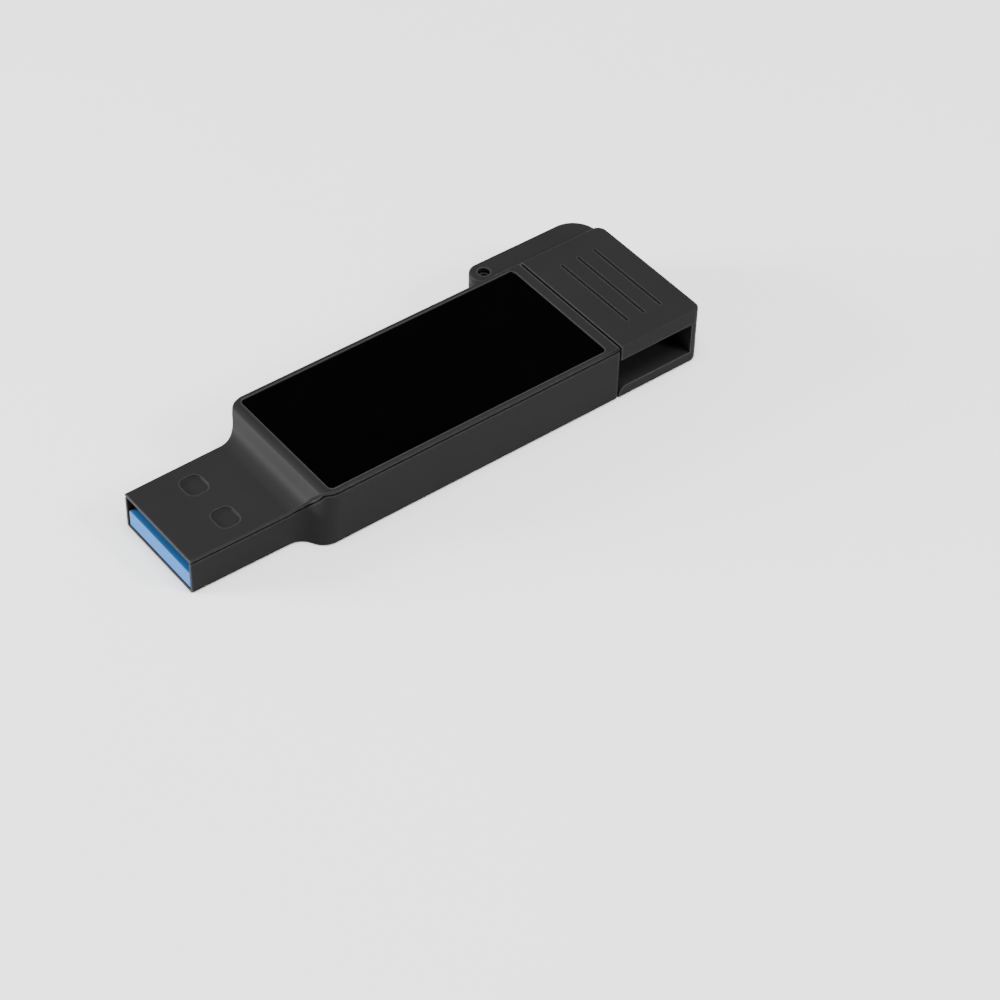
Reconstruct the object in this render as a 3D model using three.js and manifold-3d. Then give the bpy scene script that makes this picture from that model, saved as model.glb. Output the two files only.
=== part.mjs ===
// A slim metal USB flash drive with two plugs. The USB-A plug is the narrow front end of the metal
// housing itself. The USB-C plug stands out of the tail, under a cap that swings on a hinge pin
// beside the housing, half a turn, until it lies along the housing's side.
//
// Millimetres. +X runs from the USB-A nose to the cap, +Y towards the hinge, +Z from the flat rear
// face up to the glossy inset panel. Shapes are drawn with x = 0 at the nose, and the whole drive is
// then moved along X so that the origin lies on the rear face, near its middle.
import * as THREE from 'three';
import { mergeVertices } from 'three/addons/utils/BufferGeometryUtils.js';
import Module from 'manifold-3d';

const wasm = await Module();
wasm.setup();

// ---------------------------------------------------------------- driving dimensions
const ORIGIN_FROM_NOSE = 32;
const BODY_LENGTH = 52.05;
const BODY_WIDTH = 17.4;
const BODY_THICKNESS = 7.15;
const EDGE_ROUND = 0.25;

const PLUG_WIDTH = 12;
const PLUG_THICKNESS = 4.5;
const PLUG_WALL = 0.3;
const PLUG_DRAFT = 0.15; // half-width that the plug gains from its nose to the shoulder
const SHOULDER = [11.5, 16.05]; // the housing widens between these stations
const STEP = [12.7, 14.4]; // and its top rises between these

const SIDE_WALL = 0.4;
const REAR_WALL = 0.65;
const COVER_EDGE = 0.31; // thickness of the front cover's rim
const PARTING_GAP = 0.22; // the fine dark line between housing and cover
const COVER_FLOOR_Z = 5.6;
const COVER_SEAT = { afterStep: 0.35, beforeTail: 0.9 };
const INNER_SHIFT = 0.3; // the inner shoulder starts later, which keeps the wall's thickness there
const LINER_GAP = 0.05; // between the housing's walls and what slides in between them

const PANEL = { x0: 15.4, x1: 50.75, halfWidth: 8.1, corner: 0.55, pocketZ: 6.5, topZ: 7.08, gap: 0.06 };
const TAPE = { inset: 1, thickness: 0.1, gap: 0.01 };
const LATCH_RECESS = { x0: 5, x1: 7.5, y0: 1.45, y1: 4.25, corner: 0.8, depth: 0.22 };

const SEAM_GAP = 0.3;
const CAP_LENGTH = 11.05;
const CAP_CORNER = 1.1;
const CAP_MOUTH = { endWall: 1.3, hingeWall: 1.5, z0: 1.4, z1: 5.35, lip: 1 };
const GRIP_GROOVE = { stations: [55.6, 57.85, 60.1], halfLength: 5.7, width: 0.45, depth: 0.25 };

const HINGE = { x: 48.75, y: 10.55, knuckle: 1.65, pin: 0.65, lugBore: 0.68, forkBore: 0.7 };
const FORK = { z0: 0.85, z1: 6.3, plate: 1, farX: 63.2, farRound: 3.15, webX: 59.3, pinSink: 0.6 };
const LUG = { farX: 51.15, gap: 0.2, corner: 0.5 };

const TONGUE = { x0: 0.08, x1: 13, halfWidth: 5.6, z0: 0.35, z1: 2.35 };
const REAR_BLOCK = { x0: 11.5, x1: 13.4, z0: 2.75, z1: 4.05, slotHalf: 4.9 };
const BOARD = { x0: 13.7, x1: 50.6, frontHalf: 5.5, halfWidth: 7.3, widensAt: 17.5, z: 2.55, thickness: 0.8 };
const BOARD_NOTCH = { x0: 46.6, halfWidth: 4.7 };

const USB_C = { x0: 47, x1: 58.85, width: 8.34, height: 2.56, wall: 0.28, z: 3.4 };
const USB_C_CAVITY = { x0: 51.6, width: 6.9, height: 1 };
const USB_C_CONTACT = {
  perRow: 12, pitch: 0.5, halfWidth: 0.12, thickness: 0.12, crestX: 57.2, rise: 0.1, x1: 57.9,
};

const FLAT_CONTACT = { at: [-3.5, -1, 1, 3.5], x0: 1.4, x1: 8, half: 0.5, stem: 0.25 };
const SPRUNG_CONTACT = {
  at: [-4.4, -2.25, 0, 2.25, 4.4], x0: 8.7, crest: [9.6, 10.1], x1: 10.9, rise: 0.5, half: 0.3,
};
const CONTACT = { lift: 0.02, thickness: 0.18, tailX: 14.8 };

const SOLDER = 0.05; // between the board and what is on it
const CONTROLLER = { at: [33, 0], size: [7, 7, 0.9] };
const CRYSTAL = { at: [26, 2.6], size: [3.2, 2.5, 0.7] };
const CAPACITORS = { at: [[20.5, -3.2], [20.5, -1.2], [40, 3.6], [40, -3.6]], size: [1.6, 0.8, 0.8] };
const RESISTORS = { at: [[25.5, -2.2], [25.5, -3.8]], size: [1.6, 0.8, 0.45] };
const MEMORY = { along: [24, 38], across: [-6, 6], thickness: 1.1 };
const CARRIER = { x0: 17.6, beforeTail: 1, rail: 1.3 };
const BEZEL = { thickness: 0.75, beforeTail: 0.05, clearance: 0.1 };

// ---------------------------------------------------------------- materials
const finish = (color, roughness, metalness) => new THREE.MeshStandardMaterial(
  { color, roughness, metalness });
const blackPaint = finish(0x26272a, 0.45, 0.6);
const glossPanel = finish(0x020203, 0.06, 0);
const bluePlastic = finish(0x7fb2dc, 0.4, 0);
const blackPlastic = finish(0x141416, 0.55, 0);
const gold = finish(0xd9a94a, 0.3, 1);
const nickel = finish(0xb9bbbd, 0.28, 1);
const boardMask = finish(0x14422c, 0.5, 0);
const ceramic = finish(0xa08468, 0.6, 0);
const tapeWhite = finish(0xd8d8d2, 0.8, 0);

// ---------------------------------------------------------------- helpers
const drive = new THREE.Group();
drive.position.x = -ORIGIN_FROM_NOSE;

function addPiece(name, geometry, material) {
  const piece = new THREE.Mesh(geometry, material);
  piece.name = name;
  drive.add(piece);
}

function solid(geometry) {
  const plain = geometry.clone();
  plain.deleteAttribute('normal');
  plain.deleteAttribute('uv');
  const merged = mergeVertices(plain);
  return new wasm.Manifold(new wasm.Mesh({
    numProp: 3,
    vertProperties: new Float32Array(merged.attributes.position.array),
    triVerts: new Uint32Array(merged.index.array),
  }));
}

function geometryOf(manifold) {
  const mesh = manifold.getMesh();
  const geometry = new THREE.BufferGeometry();
  geometry.setAttribute('position', new THREE.BufferAttribute(new Float32Array(mesh.vertProperties), 3));
  geometry.setIndex(new THREE.BufferAttribute(new Uint32Array(mesh.triVerts), 1));
  return geometry;
}

function block([x0, x1], [y0, y1], [z0, z1]) {
  const geometry = new THREE.BoxGeometry(x1 - x0, y1 - y0, z1 - z0);
  return geometry.translate((x0 + x1) / 2, (y0 + y1) / 2, (z0 + z1) / 2);
}

// A plan outline raised from z0 to z1, with its top and bottom edges rounded by round.
function slab(shape, z0, z1, round = 0, curveSegments = 8) {
  const geometry = new THREE.ExtrudeGeometry(shape, {
    depth: z1 - z0 - 2 * round,
    bevelEnabled: round > 0,
    bevelThickness: round,
    bevelSize: round,
    bevelOffset: -round,
    bevelSegments: 2,
    curveSegments,
  });
  return geometry.translate(0, 0, z0 + round);
}

// An outline drawn in X and Z, carried along Y from y0 to y1.
function sideSlab(points, y0, y1) {
  const shape = points instanceof THREE.Shape ? points : polygon(points);
  const geometry = new THREE.ExtrudeGeometry(shape, { depth: y1 - y0, bevelEnabled: false, curveSegments: 6 });
  return geometry.rotateX(Math.PI / 2).translate(0, y1, 0);
}

// An outline drawn in Y and Z, carried along X from x0 to x1.
function endSlab(shape, x0, x1) {
  const geometry = new THREE.ExtrudeGeometry(shape, { depth: x1 - x0, bevelEnabled: false, curveSegments: 8 });
  const turn = new THREE.Matrix4().makeBasis(
    new THREE.Vector3(0, 1, 0), new THREE.Vector3(0, 0, 1), new THREE.Vector3(1, 0, 0));
  return geometry.applyMatrix4(turn).translate(x0, 0, 0);
}

function polygon(points) {
  return new THREE.Shape(points.map(([x, y]) => new THREE.Vector2(x, y)));
}

function roundedRectangle([x0, x1], [y0, y1], r) {
  const shape = new THREE.Shape();
  shape.moveTo(x0 + r, y0);
  shape.lineTo(x1 - r, y0);
  shape.absarc(x1 - r, y0 + r, r, -Math.PI / 2, 0);
  shape.lineTo(x1, y1 - r);
  shape.absarc(x1 - r, y1 - r, r, 0, Math.PI / 2);
  shape.lineTo(x0 + r, y1);
  shape.absarc(x0 + r, y1 - r, r, Math.PI / 2, Math.PI);
  shape.lineTo(x0, y0 + r);
  shape.absarc(x0 + r, y0 + r, r, Math.PI, 1.5 * Math.PI);
  return shape;
}

// ---------------------------------------------------------------- the housing's common outlines
// Height of a shoulder of two equal arcs that meet half-way, the first hollow and the second crowned.
function shoulderHeight(along, run, rise) {
  const turn = 2 * Math.atan2(rise, run);
  const radius = run / (2 * Math.sin(turn));
  const arc = (distance) => radius - Math.sqrt(radius ** 2 - distance ** 2);
  return along < run / 2 ? arc(along) : rise - arc(run - along);
}

// Plan of the housing: the plug's half-width, the shoulder, and the body's half-width.
function bodyOutline(plugHalf, bodyHalf, shoulderShift, x0, x1) {
  const shoulderSteps = 10;
  const run = SHOULDER[1] - SHOULDER[0];
  const start = plugHalf + PLUG_DRAFT;
  const edge = [[x0, plugHalf]];
  for (let i = 0; i <= shoulderSteps; i += 1) {
    const along = (run * i) / shoulderSteps;
    edge.push([SHOULDER[0] + along + shoulderShift, start + shoulderHeight(along, run, bodyHalf - start)]);
  }
  edge.push([x1, bodyHalf]);
  const mirrored = edge.map(([x, y]) => [x, -y]);
  return polygon([...mirrored, ...edge.reverse()]);
}

// Side view of the housing's top, moved in by depth: plug top, step, body top.
function topLine(depth, x0, x1) {
  const [low, high] = STEP;
  const slope = Math.atan2(BODY_THICKNESS - PLUG_THICKNESS, high - low);
  const shift = depth * Math.tan(slope / 2);
  return [
    [x0, PLUG_THICKNESS - depth],
    [low + shift, PLUG_THICKNESS - depth],
    [high + shift, BODY_THICKNESS - depth],
    [x1, BODY_THICKNESS - depth],
  ];
}

const PAST = 1; // how far a cutting solid runs past the face that it cuts
const WIDE = BODY_WIDTH;
const envelope = solid(slab(
  bodyOutline(PLUG_WIDTH / 2, BODY_WIDTH / 2, 0, -PAST, BODY_LENGTH + PAST), 0, BODY_THICKNESS, EDGE_ROUND))
  .intersect(solid(sideSlab(
    [[0, -PAST], [BODY_LENGTH, -PAST], ...topLine(0, 0, BODY_LENGTH).reverse()], -WIDE, WIDE)));
const innerPlug = PLUG_WIDTH / 2 - PLUG_WALL;
const innerBody = BODY_WIDTH / 2 - SIDE_WALL;

function hingeCylinder(radius, z0, z1) {
  const geometry = new THREE.CylinderGeometry(radius, radius, z1 - z0, 24);
  return geometry.rotateX(Math.PI / 2).translate(HINGE.x, HINGE.y, (z0 + z1) / 2);
}

// ---------------------------------------------------------------- rear housing
// A metal tub: rear face, side walls, the plug's rear and sides, and the hinge lug on its side.
function rearHousing() {
  const belowParting = solid(sideSlab(
    [[-PAST, -PAST], [BODY_LENGTH + PAST, -PAST],
      ...topLine(COVER_EDGE + PARTING_GAP, -PAST, BODY_LENGTH + PAST).reverse()], -WIDE, WIDE));
  const inside = solid(slab(
    bodyOutline(innerPlug, innerBody, INNER_SHIFT, -PAST, BODY_LENGTH + PAST), -PAST, BODY_THICKNESS + PAST));
  const aboveFloor = solid(sideSlab([
    [-2 * PAST, PLUG_WALL], [STEP[0], PLUG_WALL], [STEP[1], REAR_WALL], [BODY_LENGTH + 2 * PAST, REAR_WALL],
    [BODY_LENGTH + 2 * PAST, BODY_THICKNESS + 2 * PAST], [-2 * PAST, BODY_THICKNESS + 2 * PAST]], -WIDE, WIDE));
  const lugZ = [FORK.z0 + FORK.plate + LUG.gap, FORK.z1 - FORK.plate - LUG.gap];
  const lugShape = new THREE.Shape();
  const root = BODY_WIDTH / 2 - SIDE_WALL / 2;
  const outer = HINGE.y + HINGE.knuckle;
  lugShape.moveTo(HINGE.x - HINGE.knuckle, root);
  lugShape.lineTo(LUG.farX, root);
  lugShape.lineTo(LUG.farX, outer - LUG.corner);
  lugShape.absarc(LUG.farX - LUG.corner, outer - LUG.corner, LUG.corner, 0, Math.PI / 2);
  lugShape.lineTo(HINGE.x, outer);
  lugShape.absarc(HINGE.x, HINGE.y, HINGE.knuckle, Math.PI / 2, Math.PI);
  const lug = solid(slab(lugShape, ...lugZ));
  const bore = solid(hingeCylinder(HINGE.lugBore, 0, BODY_THICKNESS));
  return envelope.intersect(belowParting).subtract(inside.intersect(aboveFloor)).add(lug).subtract(bore);
}

// ---------------------------------------------------------------- front cover
// The stepped top plate: plug top with two latch recesses, step, and the pocket for the panel.
function frontCover() {
  const rim = envelope.subtract(solid(sideSlab(
    [[-PAST, -PAST], [BODY_LENGTH + PAST, -PAST],
      ...topLine(COVER_EDGE, -PAST, BODY_LENGTH + PAST).reverse()], -WIDE, WIDE)));
  const pocketFloor = solid(slab(
    bodyOutline(
      innerPlug - LINER_GAP, innerBody - LINER_GAP, INNER_SHIFT, STEP[1] - 2 * PAST,
      BODY_LENGTH - COVER_SEAT.beforeTail),
    COVER_FLOOR_Z, BODY_THICKNESS - COVER_EDGE / 2))
    .intersect(solid(block([STEP[1] + COVER_SEAT.afterStep, BODY_LENGTH], [-WIDE, WIDE], [0, BODY_THICKNESS])));
  const pocket = solid(slab(
    roundedRectangle([PANEL.x0, PANEL.x1], [-PANEL.halfWidth, PANEL.halfWidth], PANEL.corner),
    PANEL.pocketZ, BODY_THICKNESS + PAST));
  let cover = rim.add(pocketFloor).subtract(pocket);
  for (const side of [-1, 1]) {
    const across = [side * LATCH_RECESS.y0, side * LATCH_RECESS.y1].sort((a, b) => a - b);
    const recess = slab(
      roundedRectangle([LATCH_RECESS.x0, LATCH_RECESS.x1], across, LATCH_RECESS.corner),
      PLUG_THICKNESS - LATCH_RECESS.depth, PLUG_THICKNESS + PAST, 0, 4);
    cover = cover.subtract(solid(recess));
  }
  return cover;
}

// ---------------------------------------------------------------- inset panel and its tape
function addPanel() {
  const bed = (inset) => roundedRectangle(
    [PANEL.x0 + inset, PANEL.x1 - inset],
    [-PANEL.halfWidth + inset, PANEL.halfWidth - inset],
    Math.max(PANEL.corner - inset / 2, PANEL.corner / 2));
  const tapeZ = PANEL.pocketZ + TAPE.gap;
  const panelZ = tapeZ + TAPE.thickness + TAPE.gap;
  addPiece('panel_tape', slab(bed(TAPE.inset), tapeZ, tapeZ + TAPE.thickness, 0, 4), tapeWhite);
  addPiece('inset_panel', slab(bed(PANEL.gap), panelZ, PANEL.topZ, 0, 8), glossPanel);
}

// ---------------------------------------------------------------- USB-A insulator and contacts
// The tongue lies on the plug's rear wall and carries a block that closes the plug's back. The
// contacts lie on the tongue and pass through the slot between the two, to the circuit board.
function usbAInsulator() {
  const across = [-TONGUE.halfWidth, TONGUE.halfWidth];
  const tongue = solid(block([TONGUE.x0, TONGUE.x1], across, [TONGUE.z0, TONGUE.z1]));
  const rear = solid(block([REAR_BLOCK.x0, REAR_BLOCK.x1], across, [TONGUE.z1 - 1, REAR_BLOCK.z1]));
  const slot = solid(block(
    [REAR_BLOCK.x0 - PAST, REAR_BLOCK.x1 + PAST], [-REAR_BLOCK.slotHalf, REAR_BLOCK.slotHalf],
    [TONGUE.z1, REAR_BLOCK.z0]));
  return tongue.add(rear).subtract(slot);
}

function addUsbAContacts() {
  const low = TONGUE.z1 + CONTACT.lift;
  const high = low + CONTACT.thickness;
  // Four flat contacts near the nose, each with a pad and a narrow stem that runs back to the board.
  FLAT_CONTACT.at.forEach((y, index) => {
    const { x0, x1, half, stem } = FLAT_CONTACT;
    const outline = polygon([
      [x0, y - half], [x1, y - half], [x1 + stem, y - stem], [CONTACT.tailX, y - stem],
      [CONTACT.tailX, y + stem], [x1 + stem, y + stem], [x1, y + half], [x0, y + half]]);
    addPiece(`usb_a_contact_${index + 1}`, slab(outline, low, high), gold);
  });
  // Five sprung contacts behind them, each with a crest that rises off the tongue.
  SPRUNG_CONTACT.at.forEach((y, index) => {
    const { x0, crest, x1, rise, half } = SPRUNG_CONTACT;
    const side = [
      [x0, low], [CONTACT.tailX, low], [CONTACT.tailX, high], [x1, high],
      [crest[1], low + rise], [crest[0], low + rise], [x0, high]];
    addPiece(`usb_a_fast_contact_${index + 1}`, sideSlab(side, y - half, y + half), gold);
  });
}

// ---------------------------------------------------------------- circuit board and what is on it
function addBoard() {
  const outline = polygon([
    [BOARD.x0, -BOARD.frontHalf], [BOARD.widensAt, -BOARD.frontHalf], [BOARD.widensAt, -BOARD.halfWidth],
    [BOARD.x1, -BOARD.halfWidth], [BOARD.x1, -BOARD_NOTCH.halfWidth], [BOARD_NOTCH.x0, -BOARD_NOTCH.halfWidth],
    [BOARD_NOTCH.x0, BOARD_NOTCH.halfWidth], [BOARD.x1, BOARD_NOTCH.halfWidth], [BOARD.x1, BOARD.halfWidth],
    [BOARD.widensAt, BOARD.halfWidth], [BOARD.widensAt, BOARD.frontHalf], [BOARD.x0, BOARD.frontHalf]]);
  addPiece('circuit_board', slab(outline, BOARD.z, BOARD.z + BOARD.thickness), boardMask);

  const deck = BOARD.z + BOARD.thickness + SOLDER;
  const onDeck = (name, [x, y], [length, width, height], material) => addPiece(
    name, block([x - length / 2, x + length / 2], [y - width / 2, y + width / 2], [deck, deck + height]),
    material);
  onDeck('controller_chip', CONTROLLER.at, CONTROLLER.size, blackPlastic);
  onDeck('crystal', CRYSTAL.at, CRYSTAL.size, nickel);
  CAPACITORS.at.forEach((place, i) => onDeck(`capacitor_${i + 1}`, place, CAPACITORS.size, ceramic));
  RESISTORS.at.forEach((place, i) => onDeck(`resistor_${i + 1}`, place, RESISTORS.size, blackPlastic));
  const underside = BOARD.z - SOLDER;
  const memory = block(MEMORY.along, MEMORY.across, [underside - MEMORY.thickness, underside]);
  addPiece('memory_chip', memory, blackPlastic);
}

// A U-shaped plastic frame, open towards the tail, that holds the board off the rear wall.
function addCarrier() {
  const outer = innerBody - LINER_GAP;
  const { x0: front, rail } = CARRIER;
  const back = BODY_LENGTH - CARRIER.beforeTail;
  const outline = polygon([
    [front, -outer], [back, -outer], [back, -outer + rail], [front + rail, -outer + rail],
    [front + rail, outer - rail], [back, outer - rail], [back, outer], [front, outer]]);
  addPiece('board_carrier', slab(outline, REAR_WALL + LINER_GAP, BOARD.z - LINER_GAP), blackPlastic);
}

// ---------------------------------------------------------------- USB-C plug and the tail bezel
const stadium = (width, height) => roundedRectangle(
  [-width / 2, width / 2], [USB_C.z - height / 2, USB_C.z + height / 2], height / 2 - 0.001);

function usbCShell() {
  const inside = stadium(USB_C.width - 2 * USB_C.wall, USB_C.height - 2 * USB_C.wall);
  return solid(endSlab(stadium(USB_C.width, USB_C.height), USB_C.x0, USB_C.x1))
    .subtract(solid(endSlab(inside, USB_C.x0 - PAST, USB_C.x1 + PAST)));
}

function usbCInsulator() {
  const fit = 2 * (USB_C.wall + 0.04);
  const core = solid(endSlab(stadium(USB_C.width - fit, USB_C.height - fit), USB_C.x0 + 0.1, USB_C.x1 - 0.25));
  const cavity = solid(block(
    [USB_C_CAVITY.x0, USB_C.x1 + PAST], [-USB_C_CAVITY.width / 2, USB_C_CAVITY.width / 2],
    [USB_C.z - USB_C_CAVITY.height / 2, USB_C.z + USB_C_CAVITY.height / 2]));
  return core.subtract(cavity);
}

function addUsbCContacts() {
  const { perRow, pitch, halfWidth, thickness, crestX, rise, x1 } = USB_C_CONTACT;
  const x0 = USB_C_CAVITY.x0 + 0.1;
  const wall = USB_C_CAVITY.height / 2 - 0.02;
  const crestStart = 2 * crestX - x1;
  for (const [row, up] of [['upper', 1], ['lower', -1]]) {
    const profile = [
      [x0, wall], [x1, wall], [x1, wall - thickness], [crestX, wall - thickness - rise],
      [crestStart, wall - thickness], [x0, wall - thickness],
    ].map(([x, offset]) => [x, USB_C.z + up * offset]);
    if (up > 0) profile.reverse();
    for (let i = 0; i < perRow; i += 1) {
      const y = (i - (perRow - 1) / 2) * pitch;
      addPiece(`usb_c_${row}_contact_${i + 1}`, sideSlab(profile, y - halfWidth, y + halfWidth), gold);
    }
  }
}

// The plastic plate that closes the housing's tail around the USB-C plug.
function tailBezel() {
  const half = innerBody - LINER_GAP;
  const z0 = REAR_WALL + LINER_GAP;
  const z1 = BODY_THICKNESS - COVER_EDGE - LINER_GAP;
  const back = BODY_LENGTH - BEZEL.beforeTail;
  const plate = solid(block([back - BEZEL.thickness, back], [-half, half], [z0, z1]));
  const hole = stadium(USB_C.width + BEZEL.clearance, USB_C.height + BEZEL.clearance);
  return plate.subtract(solid(endSlab(hole, BODY_LENGTH - 2 * PAST, BODY_LENGTH + PAST)));
}

// ---------------------------------------------------------------- swing cap
// A metal block, open towards the housing and along one side, with a fork of two plates beyond its
// closed side. A web joins the plates at the far end, and the lug stands between them.
function swingCap() {
  const x0 = BODY_LENGTH + SEAM_GAP;
  const x1 = x0 + CAP_LENGTH;
  const half = BODY_WIDTH / 2;
  const plan = new THREE.Shape();
  plan.moveTo(x0 - PAST, -half);
  plan.lineTo(x1 - CAP_CORNER, -half);
  plan.absarc(x1 - CAP_CORNER, -half + CAP_CORNER, CAP_CORNER, -Math.PI / 2, 0);
  plan.lineTo(x1, half - CAP_CORNER);
  plan.absarc(x1 - CAP_CORNER, half - CAP_CORNER, CAP_CORNER, 0, Math.PI / 2);
  plan.lineTo(x0 - PAST, half);
  const pastSeam = solid(block([x0, x1 + PAST], [-WIDE, WIDE], [-PAST, BODY_THICKNESS + PAST]));
  const shellBlock = solid(slab(plan, 0, BODY_THICKNESS, EDGE_ROUND)).intersect(pastSeam);

  const mouth = new THREE.Shape();
  mouth.moveTo(x0 - PAST, CAP_MOUTH.z1);
  mouth.lineTo(x0 - PAST, CAP_MOUTH.z0 - CAP_MOUTH.lip);
  mouth.lineTo(x0, CAP_MOUTH.z0 - CAP_MOUTH.lip);
  mouth.absarc(x0 + CAP_MOUTH.lip, CAP_MOUTH.z0 - CAP_MOUTH.lip, CAP_MOUTH.lip, Math.PI, Math.PI / 2, true);
  mouth.lineTo(x1 - CAP_MOUTH.endWall, CAP_MOUTH.z0);
  mouth.lineTo(x1 - CAP_MOUTH.endWall, CAP_MOUTH.z1);
  const cavity = solid(sideSlab(mouth, -half - PAST, half - CAP_MOUTH.hingeWall));

  const outerEdge = HINGE.y + HINGE.knuckle;
  const innerEdge = HINGE.y - HINGE.knuckle;
  const forkPlan = new THREE.Shape();
  forkPlan.moveTo(x0, half - CAP_MOUTH.hingeWall / 2);
  forkPlan.lineTo(FORK.farX, half - CAP_MOUTH.hingeWall / 2);
  forkPlan.lineTo(FORK.farX, outerEdge - FORK.farRound);
  forkPlan.absarc(FORK.farX - FORK.farRound, outerEdge - FORK.farRound, FORK.farRound, 0, Math.PI / 2);
  forkPlan.lineTo(HINGE.x, outerEdge);
  forkPlan.absarc(HINGE.x, HINGE.y, HINGE.knuckle, Math.PI / 2, 1.5 * Math.PI);
  forkPlan.lineTo(x0, innerEdge);
  const betweenPlates = solid(block(
    [0, FORK.webX], [half, outerEdge + PAST], [FORK.z0 + FORK.plate, FORK.z1 - FORK.plate]));
  const fork = solid(slab(forkPlan, FORK.z0, FORK.z1, EDGE_ROUND)).subtract(betweenPlates);

  let cap = shellBlock.subtract(cavity).add(fork);
  cap = cap.subtract(solid(hingeCylinder(HINGE.forkBore, -PAST, BODY_THICKNESS + PAST)));
  for (const x of GRIP_GROOVE.stations) {
    const r = GRIP_GROOVE.width / 2;
    const across = [-GRIP_GROOVE.halfLength, GRIP_GROOVE.halfLength];
    const along = roundedRectangle([x - r, x + r], across, r - 0.001);
    cap = cap.subtract(solid(slab(along, BODY_THICKNESS - GRIP_GROOVE.depth, BODY_THICKNESS + PAST, 0, 4)));
    cap = cap.subtract(solid(slab(along, -PAST, GRIP_GROOVE.depth, 0, 4)));
  }
  return cap;
}

// ---------------------------------------------------------------- assembly
addPiece('rear_housing', geometryOf(rearHousing()), blackPaint);
addPiece('front_cover', geometryOf(frontCover()), blackPaint);
addPanel();
addPiece('usb_a_insulator', geometryOf(usbAInsulator()), bluePlastic);
addUsbAContacts();
addBoard();
addCarrier();
addPiece('tail_bezel', geometryOf(tailBezel()), blackPlastic);
addPiece('usb_c_shell', geometryOf(usbCShell()), nickel);
addPiece('usb_c_insulator', geometryOf(usbCInsulator()), blackPlastic);
addUsbCContacts();
addPiece('hinge_pin', hingeCylinder(HINGE.pin, FORK.z0 + FORK.pinSink, FORK.z1 - FORK.pinSink), blackPaint);
addPiece('swing_cap', geometryOf(swingCap()), blackPaint);

export default drive;
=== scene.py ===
# %% [markdown]
# # A slim USB drive with a swing cap
#
# The drive is a stick of painted metal. Its narrow front end is a USB-A plug, and a cap on a hinge
# pin covers a USB-C plug at its tail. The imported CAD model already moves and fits, so this lesson
# only gives it its looks: soft edges, pressed recesses, fine grooves and finishes. Each visible
# metal piece is made again as a smooth surface with numpy, in the place that the frame gives.

# %% Load the frame
import math

import bmesh
import bpy
import numpy as np
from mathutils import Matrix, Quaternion, Vector


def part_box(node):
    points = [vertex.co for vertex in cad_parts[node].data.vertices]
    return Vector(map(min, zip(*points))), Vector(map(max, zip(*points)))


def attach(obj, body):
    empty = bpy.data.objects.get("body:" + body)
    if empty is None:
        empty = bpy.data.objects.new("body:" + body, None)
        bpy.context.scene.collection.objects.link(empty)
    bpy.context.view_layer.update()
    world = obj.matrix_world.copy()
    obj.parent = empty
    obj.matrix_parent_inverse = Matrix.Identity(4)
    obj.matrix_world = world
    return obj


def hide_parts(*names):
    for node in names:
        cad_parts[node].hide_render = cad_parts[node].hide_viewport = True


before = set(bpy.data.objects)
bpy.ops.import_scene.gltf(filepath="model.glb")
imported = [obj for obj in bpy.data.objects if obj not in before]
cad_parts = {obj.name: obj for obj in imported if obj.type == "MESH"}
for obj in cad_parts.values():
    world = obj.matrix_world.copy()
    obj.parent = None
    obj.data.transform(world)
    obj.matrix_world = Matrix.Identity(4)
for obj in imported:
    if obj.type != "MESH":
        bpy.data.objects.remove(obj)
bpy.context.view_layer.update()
MM = 0.001

# %% [markdown]
# ## Measures
#
# Every place comes from the boxes of the CAD nodes, turned into millimetres. Only the sizes that a
# box can't tell, such as where the housing's shoulder starts, are listed here.

# %% Sizes from the frame


def box_mm(node):
    """Lowest and highest corner of a CAD node, in millimetres."""
    low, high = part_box(node)
    return np.array(low) / MM, np.array(high) / MM


cover_low, cover_high = box_mm("front_cover")
cap_high = box_mm("swing_cap")[1]
panel_low, panel_high = box_mm("inset_panel")
pin_low, pin_high = box_mm("hinge_pin")
shell_low, shell_high = box_mm("usb_c_shell")

NOSE, TAIL = cover_low[0], cover_high[0]
BODY_HALF, TOP = cover_high[1], cover_high[2]
HINGE = (pin_low + pin_high)[:2] / 2
KNUCKLE = cap_high[1] - HINGE[1]
PIN_RADIUS = (pin_high - pin_low)[1] / 2
print(f"nose {NOSE:.2f}, tail {TAIL:.2f}, half-width {BODY_HALF:.2f}, top {TOP:.2f} mm")
print(f"hinge axis at {HINGE.round(2)}, knuckle radius {KNUCKLE:.2f} mm")

# %% Sizes that no box tells, in millimetres
PLUG_HALF, PLUG_TOP, PLUG_WALL = 6.0, 4.5, 0.3
PLUG_DRAFT = 0.15  # the plug widens by this much towards the shoulder, on each side
SHOULDER_LOW = (11.6, 15.6)  # from the nose: at the rear face the plan widens between these
SHOULDER_HIGH = (11.9, 16.1)  # and these at the height of the plug's top
STEP = (13.0, 14.4)  # from the nose: the top rises between these
STEP_FOOT, STEP_BROW = 2.4, 0.8  # radii of the bend at the foot and at the top of the step
SIDE_WALL, REAR_WALL = 0.4, 0.65
COVER_EDGE, PARTING_GAP = 0.31, 0.22  # thickness of the cover plate, and the gap below it
SEAT_LOW, POCKET_LOW = 5.6, 6.5  # heights of the seat's underside and of the pocket's floor
INNER_SHIFT = 0.3  # the inner shoulder starts this much later
SEAM = TAIL + 0.3  # where the cap begins

# %% [markdown]
# ## Small mesh tools
#
# A shape here is a stack of closed rings of points. Neighbouring rings are joined by four-sided
# faces, and the first and last ring are closed by one face each. The whole stack is one numpy
# array, so no Python loop visits the points.

# %% Rings to a mesh


def ring_faces(rings, around):
    """Corner numbers of the quads between rings: point j of ring i sits at i * around + j."""
    i, j = np.meshgrid(np.arange(rings - 1), np.arange(around), indexing="ij")
    after = (j + 1) % around
    corners = [i * around + j, i * around + after, (i + 1) * around + after, (i + 1) * around + j]
    return np.stack(corners, axis=-1).reshape(-1, 4)


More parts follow.
